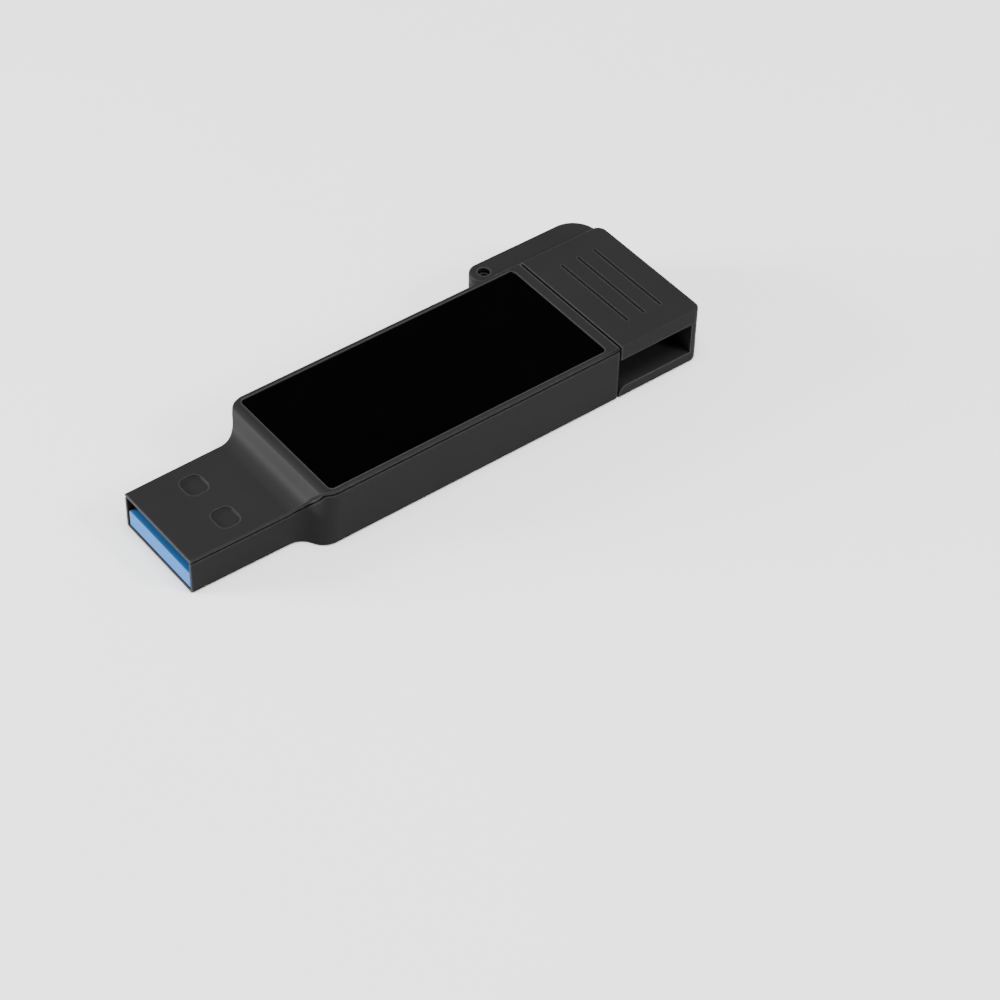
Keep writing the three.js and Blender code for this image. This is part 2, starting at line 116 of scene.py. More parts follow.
def make_object(name, points_mm, faces):
    """Object at the origin with these points, given in millimetres, and these faces."""
    mesh = bpy.data.meshes.new(name)
    mesh.from_pydata((points_mm * MM).tolist(), [], faces)
    mesh.validate()
    obj = bpy.data.objects.new(name, mesh)
    bpy.context.collection.objects.link(obj)
    return obj


def face_outward(obj):
    """Turns all faces of a closed mesh so that they point out."""
    work = bmesh.new()
    work.from_mesh(obj.data)
    bmesh.ops.recalc_face_normals(work, faces=work.faces[:])
    work.to_mesh(obj.data)
    work.free()
    return obj


def stack(name, rings):
    """Closed solid from rings of shape (rings, around, 3): quads between them and two end faces."""
    count, around, _ = rings.shape
    faces = ring_faces(count, around).tolist()
    last = (count - 1) * around
    faces.append(list(range(around))[::-1])
    faces.append(list(range(last, last + around)))
    return face_outward(make_object(name, rings.reshape(-1, 3), faces))


# %% Outlines and slabs


def arc(centre, radius, start, end, steps=10):
    """Points of a circle's arc: centre + radius * (cos a, sin a), a in degrees from start to end."""
    a = np.radians(np.linspace(start, end, steps + 1))
    return np.array(centre) + radius * np.stack([np.cos(a), np.sin(a)], axis=1)


def outline(*stretches):
    """One closed outline from stretches of points, with repeated neighbours left out."""
    points = np.vstack([np.atleast_2d(np.array(s, float)) for s in stretches])
    step = np.linalg.norm(points - np.roll(points, 1, axis=0), axis=1)
    return points[step > 1e-6]


def rounded_rectangle(low, high, radius, steps=8):
    """Rectangle from low to high with quarter-circle corners."""
    (x0, y0), (x1, y1) = np.array(low) + radius, np.array(high) - radius
    return outline(
        arc((x1, y0), radius, -90, 0, steps), arc((x1, y1), radius, 0, 90, steps),
        arc((x0, y1), radius, 90, 180, steps), arc((x0, y0), radius, 180, 270, steps))


def moved_in(points, distance):
    """The outline moved inwards: each point goes against the mean normal of its two edges,
    by distance over the cosine of half the angle between them."""
    edge = np.roll(points, -1, axis=0) - points
    edge /= np.linalg.norm(edge, axis=1, keepdims=True)
    normal = np.stack([edge[:, 1], -edge[:, 0]], axis=1)
    mean = normal + np.roll(normal, 1, axis=0)
    return points - distance * 2 * mean / np.sum(mean * mean, axis=1, keepdims=True)


def slab(name, plan, low, high, soft_low=0.0, soft_high=0.0, steps=6):
    """A plan outline raised from low to high. Its edges are quarter circles: at angle a the
    outline is moved in by r (1 - cos a) and lies r (1 - sin a) from the face."""
    a = np.radians(np.linspace(0, 90, steps + 1))
    lower = [(soft_low * (1 - math.sin(t)), low + soft_low * (1 - math.cos(t))) for t in a]
    upper = [(soft_high * (1 - math.cos(t)), high - soft_high * (1 - math.sin(t))) for t in a]
    levels = (lower if soft_low else [(0.0, low)]) + (upper if soft_high else [(0.0, high)])
    rings = [np.column_stack([moved_in(plan, inset), np.full(len(plan), z)]) for inset, z in levels]
    return stack(name, np.array(rings))


# %% Cutting and joining


def combine(obj, operation, *tools):
    """Joins tools to obj or cuts them from it, with exact booleans, and deletes the tools."""
    for tool in tools:
        step = obj.modifiers.new("combine", "BOOLEAN")
        step.operation, step.object, step.solver = operation, tool, "EXACT"
        bpy.context.view_layer.update()
        view = bpy.context.evaluated_depsgraph_get()
        result = bpy.data.meshes.new_from_object(obj.evaluated_get(view))
        obj.modifiers.clear()
        obj.data = result
        bpy.data.objects.remove(tool)
    return obj


def together(first, *others):
    """One mesh of separate closed ones, so that a single boolean uses them all."""
    work = bmesh.new()
    for obj in (first, *others):
        work.from_mesh(obj.data)
    work.to_mesh(first.data)
    work.free()
    for obj in others:
        bpy.data.objects.remove(obj)
    return first


def open_edges(obj):
    """Number of edges that don't have exactly two faces. It is 0 for a closed solid."""
    work = bmesh.new()
    work.from_mesh(obj.data)
    count = sum(not edge.is_manifold for edge in work.edges)
    work.free()
    return count


def soften(obj, width, angle=32, segments=2):
    """Rounds the edges that are sharper than angle, and keeps the flat faces flat in the light."""
    obj.data.shade_smooth()
    bevel = obj.modifiers.new("soft edges", "BEVEL")
    bevel.width, bevel.segments, bevel.limit_method = width * MM, segments, "ANGLE"
    bevel.angle_limit = math.radians(angle)
    bevel.use_clamp_overlap = True
    flat = obj.modifiers.new("flat faces", "WEIGHTED_NORMAL")
    flat.weight, flat.keep_sharp = 50, True
    return obj


def finish_piece(obj, body, nodes, material):
    """The piece rides on its body, stands for its CAD nodes and wears its finish."""
    obj.data.materials.clear()
    obj.data.materials.append(material)
    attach(obj, body)
    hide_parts(*nodes)
    print(f"{obj.name}: {len(obj.data.polygons)} faces, {open_edges(obj)} open edges")
    print(f"    stands for {', '.join(nodes)}")
    return obj


# %% [markdown]
# ## Writing shader maths
#
# A `Wire` is one output socket. Adding or multiplying wires adds Math nodes, so a formula for a
# surface reads like a formula. Colours are mixed with a Mix node, because a Math node would turn
# them grey. A value that is the same all over a surface is set straight on the shader.

# %% The wire and the finish


class Wire:
    """An output socket that understands +, - and *."""

    def __init__(self, finish, socket):
        self.finish, self.socket = finish, socket

    def math(self, operation, *others):
        """A Math node of this operation, with this wire first."""
        inputs = dict(enumerate((self, *others)))
        return self.finish.node("ShaderNodeMath", {"operation": operation}, inputs)

    def math_reflected(self, operation, other):
        """The same with the other value first."""
        return self.finish.node("ShaderNodeMath", {"operation": operation}, {0: other, 1: self})

    def __add__(self, other):
        return self.math("ADD", other)

    def __sub__(self, other):
        return self.math("SUBTRACT", other)

    def __mul__(self, other):
        return self.math("MULTIPLY", other)

    def __rsub__(self, other):
        return self.math_reflected("SUBTRACT", other)

    __radd__ = __add__


class Finish:
    """A material with one Principled shader and a short way to add nodes."""

    def __init__(self, name, **constants):
        self.material = bpy.data.materials.new(name)
        self.material.use_nodes = True
        self.tree = self.material.node_tree
        self.shader = self.tree.nodes["Principled BSDF"]
        for socket, value in constants.items():
            self.shader.inputs[socket.replace("_", " ")].default_value = value
        self.place = self.node("ShaderNodeTexCoord", out="Object")

    def node(self, kind, settings=None, inputs=None, out=0):
        """Adds a node, sets its settings, then its sockets, and returns one output as a wire."""
        made = self.tree.nodes.new(kind)
        for key, value in (settings or {}).items():
            if key == "stops":
                self.set_stops(made.color_ramp, value)
            else:
                setattr(made, key, value)
        for key, value in (inputs or {}).items():
            if isinstance(value, Wire):
                self.tree.links.new(value.socket, made.inputs[key])
            else:
                made.inputs[key].default_value = value
        return Wire(self, made.outputs[out])

    def set_stops(self, ramp, stops):
        """Gives a colour ramp its stops, each a position and a grey value."""
        while len(ramp.elements) < len(stops):
            ramp.elements.new(0.5)
        for element, (position, grey) in zip(ramp.elements, stops):
            element.position, element.color = position, (grey, grey, grey, 1)

    def noise(self, grain_mm, detail=2.0, stretch=(1, 1, 1)):
        """Noise between 0 and 1 whose grain is about grain_mm wide, longer along small stretches."""
        scale = tuple(s / (grain_mm * MM) for s in stretch)
        spot = self.node(
            "ShaderNodeMapping", None, {"Vector": self.place, "Scale": scale}, "Vector")
        inputs = {"Vector": spot, "Scale": 1.0, "Detail": detail}
        return self.node("ShaderNodeTexNoise", None, inputs, "Fac")

    def ramp(self, value, *stops):
        """A value through a ramp of (position, grey) stops."""
        return self.node("ShaderNodeValToRGB", {"stops": stops}, {"Fac": value}, "Color")

    def mix(self, amount, first, second):
        """Colour that goes from first to second as amount goes from 0 to 1."""
        return self.node("ShaderNodeMix", {"data_type": "RGBA"}, {0: amount, 6: first, 7: second}, 2)

    def nearby(self, reach_mm, inside):
        """How much of the surface closes in within this reach, 0 to 1: seen from inside the
        material it marks outer edges, and seen from outside it marks recesses."""
        open_part = self.node(
            "ShaderNodeAmbientOcclusion", {"inside": inside, "only_local": True, "samples": 6},
            {"Distance": reach_mm * MM}, "AO")
        return 1 - open_part

    def feed(self, socket, wire):
        """Links a wire into one of the shader's sockets."""
        self.tree.links.new(wire.socket, self.shader.inputs[socket])

    def bump(self, height, depth_mm, strength=1.0):
        """Lets height between 0 and 1 push the surface out by up to depth_mm."""
        made = self.node("ShaderNodeBump", None, {
            "Height": height, "Distance": depth_mm * MM, "Strength": strength}, "Normal")
        self.feed("Normal", made)


def grey(value, warm=0.0):
    """A grey as a colour, a little warmer with warm above 0."""
    return (value * (1 + warm), value, value * (1 - warm), 1)


# %% [markdown]
# ## Finishes
#
# The housing and the cap are cast metal under satin black paint. Such paint is never one flat
# colour: it has a fine leathery grain, it clouds a little from place to place, and its gloss changes
# with the grain. Its edges get a painted highlight, a paler colour, and its recesses painted shade,
# a darker colour. The panel is polished black sheet, and the plug's tongue is moulded plastic.

# %% Painted metal


def satin_paint(name, tone):
    """Black paint: slow clouds in its tone, a fine grain in its gloss and height. Edges get a painted
    highlight, a paler colour, and are smoother; recesses get painted shade, a darker colour."""
    paint = Finish(name, Specular_IOR_Level=0.03)
    clouds = paint.noise(9.0, 3.0)
    peel = paint.noise(0.55, 2.0)
    grain = paint.noise(0.09, 2.0)
    # painted highlight: outer edges are painted paler, standing in for the light they catch, and are
    # made smoother
    painted_edge_highlight = paint.ramp(paint.nearby(0.2, True) + peel * 0.2, (0.2, 0.0), (0.5, 1.0))
    # painted shade: recesses, grooves and gaps are painted darker, standing in for the shade inside
    # them
    painted_recess_shade = paint.ramp(paint.nearby(3.5, False), (0.3, 0.0), (0.65, 1.0))
    tint = clouds * 0.6 + grain * 0.4
    plain = paint.mix(tint, grey(tone * 0.82, -0.02), grey(tone * 1.2, 0.02))
    # the painted highlight: edge colour three times the paint's tone
    with_edge_highlight = paint.mix(painted_edge_highlight, plain, grey(tone * 3.0))
    paint.feed("Base Color", paint.mix(painted_recess_shade, with_edge_highlight, grey(tone * 0.15)))
    paint.feed("Roughness", 0.42 + clouds * 0.06 + grain * 0.1 - painted_edge_highlight * 0.12)
    paint.bump(peel * 0.55 + grain * 0.45, 0.006)
    return paint.material


paint = satin_paint("satin black paint", 0.0125)

# %% Panel, plastics and tape


def polished_black():
    """Glossy black sheet: almost no colour, a mirror finish with faint smudges in its gloss."""
    sheet = Finish("polished black panel", Specular_IOR_Level=0.02)
    smudge = sheet.ramp(sheet.noise(6.0, 4.0), (0.45, 0.0), (0.75, 1.0))
    sheet.feed("Base Color", sheet.mix(smudge, grey(0.0001), grey(0.0003)))
    sheet.feed("Roughness", 0.05 + smudge * 0.05)
    sheet.bump(sheet.noise(12.0, 1.0), 0.002)
    return sheet.material


def moulded_plastic(name, dark, light, rough, grain_mm=0.12, **constants):
    """Moulded plastic: flow clouds in its colour and an eroded grain from the mould."""
    plastic = Finish(name, **constants)
    flow = plastic.noise(3.0, 3.0, (0.4, 1, 1))
    grain = plastic.noise(grain_mm, 2.0)
    plastic.feed("Base Color", plastic.mix(flow * 0.7 + grain * 0.3, dark, light))
    plastic.feed("Roughness", rough + grain * 0.12)
    plastic.bump(grain, 0.004)
    return plastic.material


panel_finish = polished_black()
blue_plastic = moulded_plastic(
    "light blue plastic", (0.018, 0.092, 0.25, 1), (0.026, 0.118, 0.31, 1), 0.4, Specular_IOR_Level=0.1)
black_plastic = moulded_plastic("black plastic", grey(0.008), grey(0.016), 0.45)
chip_epoxy = moulded_plastic("chip epoxy", grey(0.012), grey(0.022), 0.55, 0.06)
ceramic = moulded_plastic("ceramic chip", (0.30, 0.19, 0.11, 1), (0.40, 0.27, 0.16, 1), 0.5)
tape = moulded_plastic("white tape", grey(0.6), grey(0.72), 0.7, 0.2)

# %% Plated metals and the circuit board


def plated_metal(name, dark, light, rough):
    """Plated metal: a drawn grain that runs along X, in its colour, gloss and height."""
    metal = Finish(name, Metallic=1.0)
    drawn = metal.noise(0.08, 3.0, (0.04, 1, 1))
    stain = metal.noise(2.5, 3.0)
    metal.feed("Base Color", metal.mix(stain * 0.5 + drawn * 0.5, dark, light))
    metal.feed("Roughness", rough + drawn * 0.12 + stain * 0.05)
    metal.bump(drawn, 0.003)
    return metal.material


def board_mask():
    """Green solder mask over copper: cell borders stand for the traces that show through it."""
    board = Finish("green solder mask", Coat_Weight=0.3)
    per_metre = (900, 900, 900)
    spot = board.node(
        "ShaderNodeMapping", None, {"Vector": board.place, "Scale": per_metre}, "Vector")
    cells = board.node(
        "ShaderNodeTexVoronoi", {"feature": "DISTANCE_TO_EDGE", "distance": "EUCLIDEAN"},
        {"Vector": spot, "Scale": 1.0, "Randomness": 0.6}, "Distance")
    trace = board.ramp(cells, (0.06, 1.0), (0.1, 0.0))
    board.feed("Base Color", board.mix(trace, (0.006, 0.05, 0.022, 1), (0.03, 0.14, 0.05, 1)))
    board.feed("Roughness", 0.3 + board.noise(0.3) * 0.15)
    board.bump(trace, 0.01)
    return board.material


gold = plated_metal("gold plate", (0.72, 0.44, 0.12, 1), (0.9, 0.62, 0.24, 1), 0.2)
nickel = plated_metal("nickel plate", grey(0.42, 0.02), grey(0.6, 0.02), 0.22)
solder_mask = board_mask()
print("finishes:", ", ".join(m.name for m in bpy.data.materials))

# %% [markdown]
# ## The housing's two curves
#
# Seen from above, the housing has straight sides that swell over a shoulder from the plug to the
# body: a hollow arc and then a crowned one. Seen from the side, its top is flat, climbs a short step
# and is flat again, with an arc at the foot and at the brow of the step. All of the housing follows
# these two curves, so they are functions, and each piece only moves them in by its own depth.

# %% Plan and side curves


def half_width(x, z, plug_half, body_half, late=0.0):
    """Half-width at x and height z: the plug's, which grows by its draft, and over the shoulder two
    equal arcs that meet half-way. An arc of radius r rises by r - sqrt(r^2 - d^2) at distance d
    from its end. The shoulder's ends move with z from their rear places to their upper ones."""
    from_nose = x - NOSE - late
    up = np.clip(z / PLUG_TOP, 0, 1)
    first, last = (low + up * (high - low) for low, high in zip(SHOULDER_LOW, SHOULDER_HIGH))
    start = plug_half + PLUG_DRAFT * np.clip(from_nose / first, 0, 1)
    run, rise = last - first, body_half - plug_half - PLUG_DRAFT
    radius = run / (2 * np.sin(2 * np.arctan2(rise, run)))
    along = np.clip(from_nose - first, 0, run)
    to_end = np.minimum(along, run - along)
    lift = radius - np.sqrt(radius**2 - to_end**2)
    return start + np.where(along < run / 2, lift, rise - lift)


def top_curve(x_end, arc_steps=12):
    """Side view of the top: points (x, z) and their outward normals (-sin a, cos a), where a is
    the slope's angle there. Flat, foot arc, slope, brow arc, flat. Stations are closest together
    where the plan or the top bends."""
    rise, run = TOP - PLUG_TOP, STEP[1] - STEP[0]
    slope = math.atan2(rise, run)
    reach = math.tan(slope / 2)
    foot = np.array([NOSE + STEP[0] - STEP_FOOT * reach, PLUG_TOP + STEP_FOOT])
    brow = np.array([NOSE + STEP[1] + STEP_BROW * reach, TOP - STEP_BROW])
    a_foot = np.linspace(0, slope, arc_steps + 1)
    a_brow = a_foot[::-1]
    plug_x = np.concatenate([
        [NOSE], np.linspace(NOSE + 0.2, NOSE + 10, 6), np.linspace(NOSE + 10.5, foot[0], 12)[:-1]])
    shoulder_end = NOSE + SHOULDER_HIGH[1]
    body_x = np.concatenate([
        np.linspace(brow[0], shoulder_end + 0.6, 9)[1:], np.linspace(shoulder_end + 3, x_end, 9)])
    foot_arc = foot + STEP_FOOT * np.stack([np.sin(a_foot), -np.cos(a_foot)], axis=1)
    brow_arc = brow + STEP_BROW * np.stack([-np.sin(a_brow), np.cos(a_brow)], axis=1)
    climb = np.linspace(foot_arc[-1], brow_arc[0], 7)[1:-1]
    plug = np.stack([plug_x, np.full(len(plug_x), PLUG_TOP)], axis=1)
    body = np.stack([body_x, np.full(len(body_x), TOP)], axis=1)
    points = np.vstack([plug, foot_arc, climb, brow_arc, body])
    angle = np.concatenate([
        np.zeros(len(plug)), a_foot, np.full(len(climb), slope), a_brow, np.zeros(len(body))])
    return points, np.stack([-np.sin(angle), np.cos(angle)], axis=1)


top_points, top_normals = top_curve(TAIL)
print(f"top curve: {len(top_points)} stations, x {top_points[0, 0]:.1f} to {top_points[-1, 0]:.1f} mm")

# %% [markdown]
# ## Front cover
#
# The cover is a thin stepped plate. One cross-section, a strip with rounded top corners, is carried
# along the top curve, and it stays square to the curve, so the plate keeps its thickness down the
# step. Below it go a seat for the glossy panel, a bulge of metal under each latch recess, and a lip
# along each side that closes the parting line from inside. The pocket and the recesses are cut.

# %% Cover plate


def cover_plate(depth, soft, chamfer=0.06):
    """Cross-section points are (a, b): a in from the side edge, b down from the top. At station
    (x, z) with normal n, a point lies at (x, z) - b n, and at y = +-(half-width there - a)."""
    t = np.radians(np.linspace(0, 90, 7))
    a = np.concatenate([[chamfer, 0.0], soft * (1 - np.cos(t))])
    b = np.concatenate([[depth, depth - chamfer], soft * (1 - np.sin(t))])
    a, b = np.concatenate([a, a[::-1]]), np.concatenate([b, b[::-1]])
    side = np.repeat([-1.0, 1.0], len(a) // 2)
    spot = top_points[:, None, :] - b[None, :, None] * top_normals[:, None, :]
    y = side * (half_width(spot[..., 0], spot[..., 1], PLUG_HALF, BODY_HALF) - a)
    x = np.clip(spot[..., 0], NOSE, TAIL)
    return stack("front_cover_plate", np.stack([x, y, spot[..., 1]], axis=-1))


def plan_of_inside(x0, x1, plug_half, body_half, steps=24):
    """Plan outline between x0 and x1 that follows the inner shoulder on both sides."""
    x = np.linspace(x0, x1, steps)
    y = half_width(x, TOP, plug_half, body_half, INNER_SHIFT)
    return outline(np.stack([x, -y], axis=1), np.stack([x, y], axis=1)[::-1])


COVER_ROUND = 0.16
LINER_GAP, SEAT_TAIL, SEAT_FRONT = 0.05, 0.9, 0.35
cover = cover_plate(COVER_EDGE, COVER_ROUND)
seat_plan = plan_of_inside(
    NOSE + STEP[1] + SEAT_FRONT, TAIL - SEAT_TAIL,
    PLUG_HALF - PLUG_WALL - LINER_GAP, BODY_HALF - SIDE_WALL - LINER_GAP)
seat = slab("panel_seat", seat_plan, SEAT_LOW, TOP - COVER_EDGE / 2)


def lip(side, clear=0.08, thickness=0.14, deep=0.75):
    """A strip under the plate, from the nose to the seat, that closes the parting line from
    inside. Its section is a thin rectangle between the plate's middle and the depth given. It is
    carried along the top curve, clear of the housing's wall."""
    from_nose = top_points[:, 0] - NOSE
    near = (from_nose > 0.1) & (from_nose < STEP[1] + 0.9)
    points, normals = top_points[near], top_normals[near]
    middle = COVER_EDGE / 2
    rings = []
    for depth, inset in ((middle, 0), (deep, 0), (deep, thickness), (middle, thickness)):
        spot = points - depth * normals
        wall = half_width(
            spot[:, 0], spot[:, 1], PLUG_HALF - PLUG_WALL - clear,
            BODY_HALF - SIDE_WALL - clear, INNER_SHIFT)
        rings.append(np.stack([spot[:, 0], side * (wall - inset), spot[:, 1]], axis=1))
    return stack("lip", np.array(rings).transpose(1, 0, 2))


combine(cover, "UNION", seat)

# %% Pocket, latch recesses and lips
PAST = 1.0  # how far a cutter runs past the face that it cuts
PANEL_GAP, PANEL_CORNER = 0.06, 0.55
pocket_plan = rounded_rectangle(panel_low[:2] - PANEL_GAP, panel_high[:2] + PANEL_GAP, PANEL_CORNER)
pocket = slab("pocket", pocket_plan, POCKET_LOW, TOP + PAST)
RECESS = {"x": (5.0, 7.5), "y": (1.45, 4.25), "corner": 0.9, "depth": 0.22, "soft": 0.2}
BULGE_MARGIN = 0.3
recesses, bulges = [], []
for side in (-1, 1):
    near, far = sorted((side * RECESS["y"][0], side * RECESS["y"][1]))
    plan = rounded_rectangle(
        (NOSE + RECESS["x"][0], near), (NOSE + RECESS["x"][1], far), RECESS["corner"])
    floor_z = PLUG_TOP - RECESS["depth"]
    recesses.append(slab("recess", plan, floor_z, PLUG_TOP + 0.3, soft_low=RECESS["soft"]))
    bulges.append(slab(
        "bulge", moved_in(plan, -BULGE_MARGIN), floor_z - COVER_EDGE, PLUG_TOP - COVER_EDGE / 2))
combine(cover, "UNION", together(*bulges))
combine(cover, "DIFFERENCE", together(pocket, *recesses))
combine(cover, "UNION", together(lip(-1), lip(1)))
cover.name = "front_cover_skin"
soften(cover, 0.07)
finish_piece(cover, "housing", ["front_cover"], paint)

# %% [markdown]
# ## Rear housing
#
# The tub's cross-section is a U: the flat rear face with softly rounded edges, two side walls, and
# the inside. Its width and the height of its walls change along X, so the U is worked out anew at
# each station. The lug that holds the hinge pin is joined to one side, and its bore is cut.

# %% Tub


def tub(soft, chamfer):
    """At station x the loop runs down one outer wall, round the rear edges (quarter circles of
    radius soft), up the other, and back along the inside. Walls end a parting gap below the
    cover's underside."""
    gap = COVER_EDGE + PARTING_GAP
    edge = top_points - gap * top_normals
    x = np.clip(edge[:, 0], NOSE, TAIL)
    rim = edge[:, 1]

    def outer(z):
        return half_width(x, z, PLUG_HALF, BODY_HALF)

    def inner(z):
        return half_width(x, z, PLUG_HALF - PLUG_WALL, BODY_HALF - SIDE_WALL, INNER_SHIFT)

    climbed = np.clip((x - NOSE - STEP[0]) / (STEP[1] - STEP[0]), 0, 1)
    floor = PLUG_WALL + (REAR_WALL - PLUG_WALL) * climbed
    t = np.radians(np.linspace(0, 90, 9))
    side = [(outer(rim) - chamfer, rim)]
    side += [(outer(z), z) for z in np.linspace(rim - chamfer, soft, 5)[:-1]]
    side += [(outer(soft) - soft * (1 - math.cos(s)), soft * (1 - math.sin(s)) + 0 * x) for s in t]
    inside = [(inner(floor), floor), (inner(rim), rim)]
    left = [(-y, z) for y, z in side[::-1]]
    loop = side + left + [(-y, z) for y, z in inside[::-1]] + inside
    rings = np.array([np.stack([x, y, z], axis=1) for y, z in loop])
    return stack("tub", rings.transpose(1, 0, 2))


TUB_ROUND, RIM_CHAMFER = 0.25, 0.05
LUG_FAR, LUG_CORNER, LUG_SOFT, LUG_GAP = 19.15, 0.5, 0.12, 0.2
FORK_LOW, FORK_HIGH, FORK_PLATE = 0.85, 6.3, 1.0
LUG_LOW, LUG_HIGH = FORK_LOW + FORK_PLATE + LUG_GAP, FORK_HIGH - FORK_PLATE - LUG_GAP
PIN_IN_LUG, PIN_IN_FORK = 0.03, 0.05  # clearance of the pin in each bore


def hinge_bore(radius, low, high, steps=48):
    """Round cutter on the hinge axis."""
    return slab("bore", arc(HINGE, radius, 0, 360, steps)[:-1], low, high)


housing = tub(TUB_ROUND, RIM_CHAMFER)
lug_out = HINGE[1] + KNUCKLE
lug_plan = outline(
    (HINGE[0] - KNUCKLE, BODY_HALF - 0.3), (LUG_FAR, BODY_HALF - 0.3),
    arc((LUG_FAR - LUG_CORNER, lug_out - LUG_CORNER), LUG_CORNER, 0, 90),
    arc(HINGE, KNUCKLE, 90, 180, 16))
lug = slab("lug", lug_plan, LUG_LOW, LUG_HIGH, LUG_SOFT, LUG_SOFT, 3)
combine(housing, "UNION", lug)
combine(housing, "DIFFERENCE", hinge_bore(PIN_RADIUS + PIN_IN_LUG, 0, TOP))
housing.name = "rear_housing_skin"
soften(housing, 0.06)
finish_piece(housing, "housing", ["rear_housing"], paint)

# %% [markdown]
# ## Glossy panel
#
# The panel is a thin sheet with rounded corners and a fine polished edge, set a little below the
# rim so that the rim protects it.

# %% Panel
panel_plan = rounded_rectangle(panel_low[:2], panel_high[:2], PANEL_CORNER - PANEL_GAP)
panel = slab("inset_panel_sheet", panel_plan, panel_low[2], panel_high[2], 0.0, 0.08, 4)
soften(panel, 0.02)
finish_piece(panel, "housing", ["inset_panel"], panel_finish)

# %% [markdown]
# ## Swing cap
#
# The cap is a block with rounded far corners. It is hollow, open towards the housing and along one
# side, so that the plug can leave it sideways. On the other side a fork of two plates reaches back
# to the hinge pin. Three grip grooves cross each face.

# %% Block and mouth
CAP_CORNER, CAP_SOFT = 1.1, 0.25
MOUTH_LOW, MOUTH_HIGH, MOUTH_LIP = 1.4, 5.35, 1.0
END_WALL, HINGE_WALL = 1.3, 1.5
cap_end = cap_high[0]
block_plan = outline(
    arc((cap_end - CAP_CORNER, -BODY_HALF + CAP_CORNER), CAP_CORNER, -90, 0),
    arc((cap_end - CAP_CORNER, BODY_HALF - CAP_CORNER), CAP_CORNER, 0, 90),
    (SEAM - 2 * PAST, BODY_HALF), (SEAM - 2 * PAST, -BODY_HALF))
cap = slab("swing_cap_block", block_plan, 0.0, TOP, CAP_SOFT, CAP_SOFT)
before_seam = rounded_rectangle(
    (SEAM - 4 * PAST, -BODY_HALF - PAST), (SEAM, BODY_HALF + PAST), 0.01, 1)
combine(cap, "DIFFERENCE", slab("before_seam", before_seam, -PAST, TOP + PAST))


def side_prism(name, points_xz, y0, y1):
    """An outline in X and Z carried along Y from y0 to y1."""
    x, z = points_xz.T
    rings = [np.stack([x, np.full(len(x), y), z], axis=1) for y in (y0, y1)]
    return stack(name, np.array(rings))


mouth_outline = outline(
    (SEAM - PAST, MOUTH_HIGH), (SEAM - PAST, MOUTH_LOW - MOUTH_LIP),
    arc((SEAM + MOUTH_LIP, MOUTH_LOW - MOUTH_LIP), MOUTH_LIP, 180, 90),
    (cap_end - END_WALL, MOUTH_LOW), (cap_end - END_WALL, MOUTH_HIGH))
mouth = side_prism("mouth", mouth_outline, -BODY_HALF - PAST, BODY_HALF - HINGE_WALL)
combine(cap, "DIFFERENCE", mouth)

# %% Fork
FORK_FAR, FORK_ROUND, FORK_SOFT = 31.2, 3.15, 0.25
WEB_X, WEB_ROUND = 27.3, 0.5  # where the web between the plates starts
root, fork_start = BODY_HALF - HINGE_WALL / 2, SEAM + 0.02
fork_plan = outline(
    (fork_start, root), (FORK_FAR, root),
    arc((FORK_FAR - FORK_ROUND, lug_out - FORK_ROUND), FORK_ROUND, 0, 90, 16),
    arc(HINGE, KNUCKLE, 90, 270, 28),
    (fork_start, HINGE[1] - KNUCKLE))
fork = slab("fork", fork_plan, FORK_LOW, FORK_HIGH, FORK_SOFT, FORK_SOFT)
gap_plan = rounded_rectangle((HINGE[0] - 8, BODY_HALF), (WEB_X, lug_out + 2), WEB_ROUND)
fork_gap = slab("fork_gap", gap_plan, FORK_LOW + FORK_PLATE, FORK_HIGH - FORK_PLATE)
combine(fork, "DIFFERENCE", fork_gap)
combine(cap, "UNION", fork)
combine(cap, "DIFFERENCE", hinge_bore(PIN_RADIUS + PIN_IN_FORK, -PAST, TOP + PAST))

# %% Grip grooves
GROOVE_X, GROOVE_HALF = (23.6, 25.85, 28.1), 5.7
GROOVE_RADIUS = 0.17
GROOVE_LIFT = -0.02  # a bar's middle lies this far outside the face


def groove_cutter(x, z, steps=24):
    """A round bar along Y with round ends: at y its radius is the smaller of r and
    sqrt(r^2 - (distance past the end's centre)^2)."""
    a = np.radians(np.linspace(-85, 85, 11))
    y_end = GROOVE_HALF - GROOVE_RADIUS
    ends = np.concatenate([a[a < 0], a[a > 0]])
    y = np.sign(ends) * y_end + GROOVE_RADIUS * np.sin(ends)
    r = GROOVE_RADIUS * np.cos(ends)
    turn = np.radians(np.linspace(0, 360, steps, endpoint=False))
    rings = np.stack([
        x + r[:, None] * np.cos(turn), y[:, None] + 0 * turn, z + r[:, None] * np.sin(turn)], axis=-1)
    return stack("groove", rings)


grooves = [groove_cutter(x, z) for x in GROOVE_X for z in (-GROOVE_LIFT, TOP + GROOVE_LIFT)]
combine(cap, "DIFFERENCE", *grooves)
cap.name = "swing_cap_skin"
soften(cap, 0.06)
finish_piece(cap, "cap", ["swing_cap"], paint)

# %% [markdown]
# ## Hinge pin
#
# The pin is turned from steel wire, with a small chamfer and a drilled centre at each end, and it
# is painted with the housing.

# %% Pin


def turned(name, centre, radii, heights, steps=48):
    """A turned piece: rings of the given radii at the given heights about an upright axis."""
    turn = np.radians(np.linspace(0, 360, steps, endpoint=False))
    r, z = np.array(radii)[:, None], np.array(heights)[:, None]
    rings = np.stack([
        centre[0] + r * np.cos(turn), centre[1] + r * np.sin(turn), z + 0 * turn], axis=-1)
    return stack(name, rings)


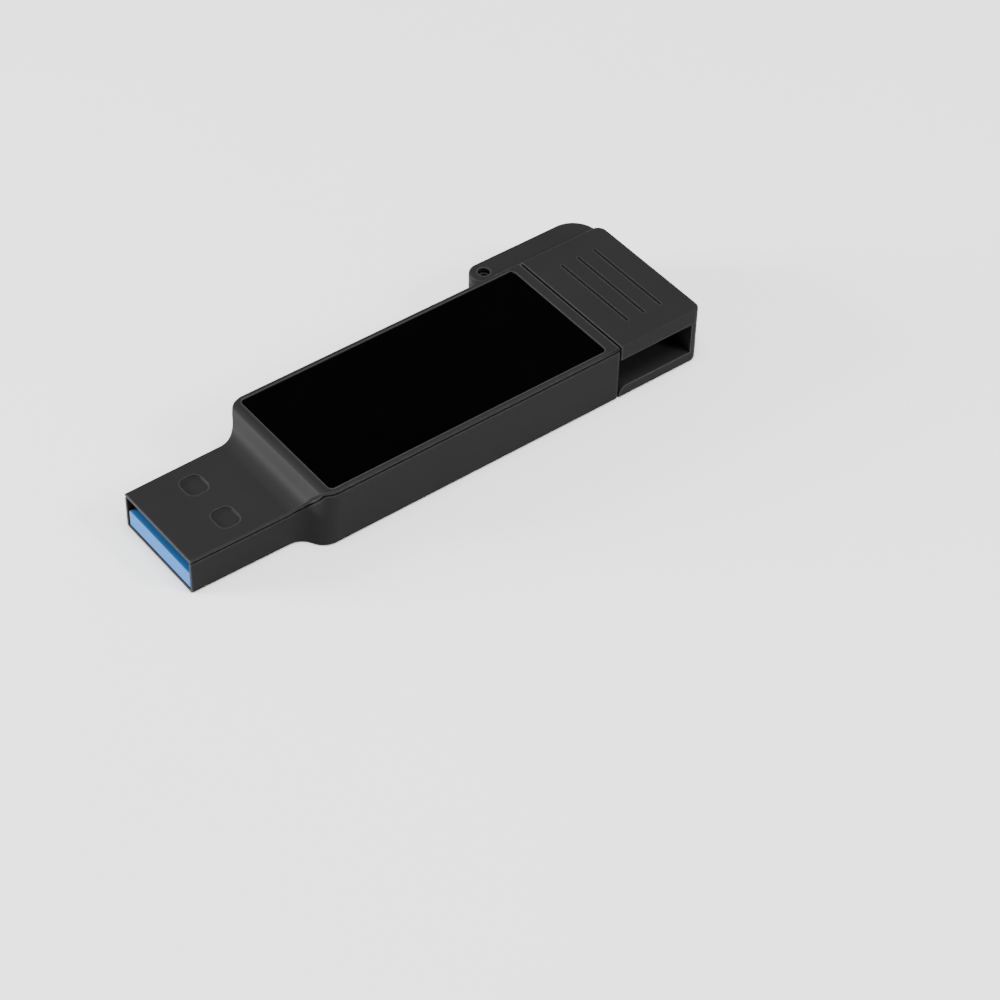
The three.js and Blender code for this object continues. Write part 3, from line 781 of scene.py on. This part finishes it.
chamfer, centre_radius, centre_depth = 0.08, 0.5, 1.2
pin_radii = [centre_radius, centre_radius, PIN_RADIUS - chamfer, PIN_RADIUS]
pin_drop = [centre_depth, 0.0, 0.0, chamfer]
pin = turned(
    "hinge_pin_turned", HINGE, pin_radii + pin_radii[::-1],
    [pin_low[2] + d for d in pin_drop] + [pin_high[2] - d for d in pin_drop[::-1]])
soften(pin, 0.02)
finish_piece(pin, "housing", ["hinge_pin"], paint)

# %% [markdown]
# ## USB-A tongue
#
# The tongue is moulded, with rounded edges. It is the CAD solid with its doubles merged and its
# edges softened, because its shape is right and only its sharp edges are not. The plastic plate
# round the USB-C plug at the tail is made in the same way.

# %% Rounded copies of CAD solids


def rounded_copy(node, width, name):
    """Copy of a CAD node's mesh with its doubles merged, its flat faces joined, its edges soft."""
    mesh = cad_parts[node].data.copy()
    work = bmesh.new()
    work.from_mesh(mesh)
    bmesh.ops.remove_doubles(work, verts=work.verts[:], dist=0.002 * MM)
    bmesh.ops.dissolve_limit(
        work, angle_limit=math.radians(1), verts=work.verts[:], edges=work.edges[:])
    work.to_mesh(mesh)
    work.free()
    obj = bpy.data.objects.new(name, mesh)
    bpy.context.collection.objects.link(obj)
    return soften(obj, width)


tongue = rounded_copy("usb_a_insulator", 0.15, "usb_a_tongue")
finish_piece(tongue, "housing", ["usb_a_insulator"], blue_plastic)
bezel = rounded_copy("tail_bezel", 0.06, "tail_bezel_plate")
finish_piece(bezel, "housing", ["tail_bezel"], black_plastic)

# %% [markdown]
# ## USB-C shell
#
# The shell is drawn from one strip of metal. Its section, a wall with a rounded mouth that leads
# the receptacle in, is carried round a stadium: two half circles joined by straights.

# %% Shell


def stadium_shell(wall, mouth_round):
    """The wall's section is a closed loop of (depth in from the outside, x). The stadium at
    that depth has half circles of the shell's half height less the depth."""
    half_y, half_z = (shell_high - shell_low)[1:] / 2
    centre_z = (shell_high + shell_low)[2] / 2
    x0, x1 = shell_low[0], shell_high[0]
    t = np.radians(np.linspace(0, 180, 9))
    depth = np.concatenate([[0.0, 0.0], wall / 2 * (1 - np.cos(t)), [wall]])
    x = np.concatenate([[x0, x1 - mouth_round], x1 - mouth_round * (1 - np.sin(t)), [x0]])
    steps = 24
    a = np.radians(np.concatenate([np.linspace(-90, 90, steps), np.linspace(90, 270, steps)]))
    shift = np.repeat([1.0, -1.0], steps) * (half_y - half_z)
    radius = (half_z - depth)[:, None]
    rings = np.stack([
        x[:, None] + 0 * a, shift + radius * np.cos(a), centre_z + radius * np.sin(a)], axis=-1)
    count, around, _ = rings.shape
    closed = np.concatenate([rings, rings[:1]])
    faces = ring_faces(count + 1, around) % (count * around)
    obj = make_object("usb_c_shell_drawn", closed[:-1].reshape(-1, 3), faces.tolist())
    return face_outward(obj)


shell = stadium_shell(0.28, 0.14)
soften(shell, 0.02)
finish_piece(shell, "housing", ["usb_c_shell"], nickel)

# %% [markdown]
# ## Pieces that keep their CAD shape
#
# The contacts, the chips and the rest of the inside are small prisms in reality too, so their CAD
# solids stay, and each gets the finish of its kind.

# %% Finishes for the CAD nodes
KEPT = {
    "usb_a_contact": gold, "usb_a_fast_contact": gold, "usb_c_upper": gold, "usb_c_lower": gold,
    "usb_c_insulator": black_plastic, "circuit_board": solder_mask, "controller_chip": chip_epoxy,
    "memory_chip": chip_epoxy, "crystal": nickel, "capacitor": ceramic, "resistor": chip_epoxy,
    "board_carrier": black_plastic, "panel_tape": tape,
}
kept = 0
for node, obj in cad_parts.items():
    for start, material in KEPT.items():
        if node.startswith(start):
            obj.data.materials.clear()
            obj.data.materials.append(material)
            kept += 1
print(f"{kept} CAD nodes keep their shape")

# %% [markdown]
# ## Stage, light and camera
#
# A plain pale floor, and three soft lamps in a pale room. The strong one, low on the left beyond the
# plug, lights the step that faces it. One at the front right lights the near side, and a wide one
# above lights the top faces. The camera looks down at the drive from the near left, with a long
# lens.

# %% Floor
FLOOR_DROP = 0.00005  # metres between the drive's lowest face and the floor


def pale_floor(radius=3.0, wall=0.5):
    """A round sheet that curves up at its rim. On a grid of u, 0 to 1, and a turn, the radius grows
    with u to its full value, and past it the sheet climbs as wall * (1 - cos v)."""
    v = np.linspace(0, np.pi / 2, 10)[1:]
    r = np.concatenate([np.array([0.0001, 0.05, 0.3, 1.0]) * radius, radius + wall * np.sin(v)])
    z = np.concatenate([np.zeros(4), wall * (1 - np.cos(v))]) - FLOOR_DROP
    turn = np.radians(np.linspace(0, 360, 96, endpoint=False))
    rings = np.stack([
        r[:, None] * np.cos(turn), r[:, None] * np.sin(turn), z[:, None] + 0 * turn], axis=-1)
    faces = ring_faces(len(r), len(turn)).tolist()
    faces.append(list(range(len(turn))))
    return make_object("floor", rings.reshape(-1, 3) / MM, faces)


floor = pale_floor()
cloth = Finish("pale floor", Roughness=0.9)
cloth.feed("Base Color", cloth.mix(cloth.noise(40.0), grey(0.86), grey(0.9)))
floor.data.materials.append(cloth.material)

# %% Lamps
middle = Vector(((NOSE + cap_end) / 2, 0, TOP / 2)) * MM


def soft_lamp(name, azimuth, elevation, distance, size, power):
    """A square lamp at this angle round the drive, turned to face it. Azimuth 0 is on -Y."""
    a, e = math.radians(azimuth), math.radians(elevation)
    away = Vector((math.sin(a) * math.cos(e), -math.cos(a) * math.cos(e), math.sin(e)))
    light = bpy.data.lights.new(name, "AREA")
    light.shape, light.size, light.energy = "SQUARE", size, power
    lamp = bpy.data.objects.new(name, light)
    lamp.location = middle + away * distance
    lamp.rotation_euler = (-away).to_track_quat("-Z", "Y").to_euler()
    bpy.context.collection.objects.link(lamp)


soft_lamp("left lamp", -124, 10, 0.6, 0.2, 11.5)
soft_lamp("front lamp", 32, 35, 0.8, 0.2, 5)
soft_lamp("top lamp", -20, 80, 0.8, 0.5, 12)
world = bpy.data.worlds.new("soft room")
world.use_nodes = True
room = world.node_tree.nodes["Background"].inputs
room["Color"].default_value, room["Strength"].default_value = (1, 1, 1, 1), 0.5
bpy.context.scene.world = world

# %% Camera
AIM_MM = (-1.592, -16.312, 3.5)
VIEW_AZIMUTH, VIEW_ELEVATION, VIEW_ROLL = -38.633, 44.317, 1.596
VIEW_DISTANCE_MM, LENS = 290.29, 103.54


def look(aim_mm, azimuth, elevation, roll, distance_mm, lens):
    """Camera at distance from aim, at this azimuth and elevation, rolled about its own axis."""
    a, e = math.radians(azimuth), math.radians(elevation)
    away = Vector((math.sin(a) * math.cos(e), -math.cos(a) * math.cos(e), math.sin(e)))
    data = bpy.data.cameras.new("camera")
    data.lens, data.sensor_width = lens, 36
    data.clip_start, data.clip_end = 0.01, 20
    camera = bpy.data.objects.new("camera", data)
    camera.location = (Vector(aim_mm) + away * distance_mm) * MM
    facing = (-away).to_track_quat("-Z", "Y") @ Quaternion((0, 0, 1), math.radians(roll))
    camera.rotation_euler = facing.to_euler()
    bpy.context.collection.objects.link(camera)
    bpy.context.scene.camera = camera


look(AIM_MM, VIEW_AZIMUTH, VIEW_ELEVATION, VIEW_ROLL, VIEW_DISTANCE_MM, LENS)
